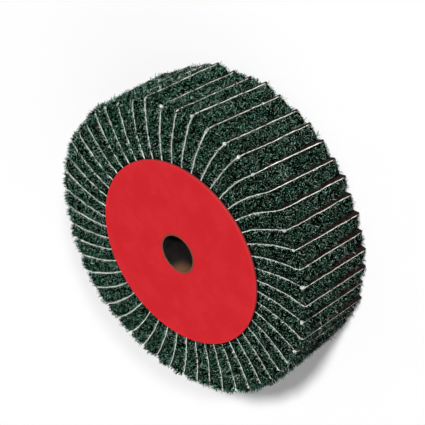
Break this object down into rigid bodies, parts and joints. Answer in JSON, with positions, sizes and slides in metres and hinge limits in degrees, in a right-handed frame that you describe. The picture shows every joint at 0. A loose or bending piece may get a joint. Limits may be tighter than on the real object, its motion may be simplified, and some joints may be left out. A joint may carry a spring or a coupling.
{
  "type": "flap wheel",
  "caption": "Cylindrical wheel of radial abrasive cloth flaps interleaved with non-woven web flaps, closed by two round flanges and bored through for a spindle.",
  "frame": {"origin": "centre of the outer face of the rear flange, on which the wheel lies", "axes": "+Z along the bore towards the front flange; +X through the root of the first cloth flap"},
  "size_m": [0.1498, 0.15, 0.048],
  "materials": {
    "abrasive_cloth": "woven cotton coated with coarse brown grit",
    "nonwoven_web": "open dark green non-woven fibre web",
    "flange_board": "flat matte red board",
    "wound_card": "plain brown card",
    "cast_resin": "cast resin, hidden between the flanges"
  },
  "bodies": {
    "root": {"core_tube": "wound_card", "resin_hub": "cast_resin", "front_flange": "flange_board", "rear_flange": "flange_board", "web_flaps": "nonwoven_web", "abrasive_flap_01": "abrasive_cloth", "abrasive_flap_02": "abrasive_cloth", "abrasive_flap_03": "abrasive_cloth", "abrasive_flap_04": "abrasive_cloth", "abrasive_flap_05": "abrasive_cloth", "abrasive_flap_06": "abrasive_cloth", "abrasive_flap_07": "abrasive_cloth", "abrasive_flap_08": "abrasive_cloth", "abrasive_flap_09": "abrasive_cloth", "abrasive_flap_10": "abrasive_cloth", "abrasive_flap_11": "abrasive_cloth", "abrasive_flap_12": "abrasive_cloth", "abrasive_flap_13": "abrasive_cloth", "abrasive_flap_14": "abrasive_cloth", "abrasive_flap_15": "abrasive_cloth", "abrasive_flap_16": "abrasive_cloth", "abrasive_flap_17": "abrasive_cloth", "abrasive_flap_18": "abrasive_cloth", "abrasive_flap_19": "abrasive_cloth", "abrasive_flap_20": "abrasive_cloth", "abrasive_flap_21": "abrasive_cloth", "abrasive_flap_22": "abrasive_cloth", "abrasive_flap_23": "abrasive_cloth", "abrasive_flap_24": "abrasive_cloth", "abrasive_flap_25": "abrasive_cloth", "abrasive_flap_26": "abrasive_cloth", "abrasive_flap_27": "abrasive_cloth", "abrasive_flap_28": "abrasive_cloth", "abrasive_flap_29": "abrasive_cloth", "abrasive_flap_30": "abrasive_cloth", "abrasive_flap_31": "abrasive_cloth", "abrasive_flap_32": "abrasive_cloth", "abrasive_flap_33": "abrasive_cloth", "abrasive_flap_34": "abrasive_cloth", "abrasive_flap_35": "abrasive_cloth", "abrasive_flap_36": "abrasive_cloth", "abrasive_flap_37": "abrasive_cloth", "abrasive_flap_38": "abrasive_cloth", "abrasive_flap_39": "abrasive_cloth", "abrasive_flap_40": "abrasive_cloth", "abrasive_flap_41": "abrasive_cloth", "abrasive_flap_42": "abrasive_cloth", "abrasive_flap_43": "abrasive_cloth", "abrasive_flap_44": "abrasive_cloth", "abrasive_flap_45": "abrasive_cloth", "abrasive_flap_46": "abrasive_cloth", "abrasive_flap_47": "abrasive_cloth", "abrasive_flap_48": "abrasive_cloth", "abrasive_flap_49": "abrasive_cloth", "abrasive_flap_50": "abrasive_cloth"}
  },
  "joints": []
}
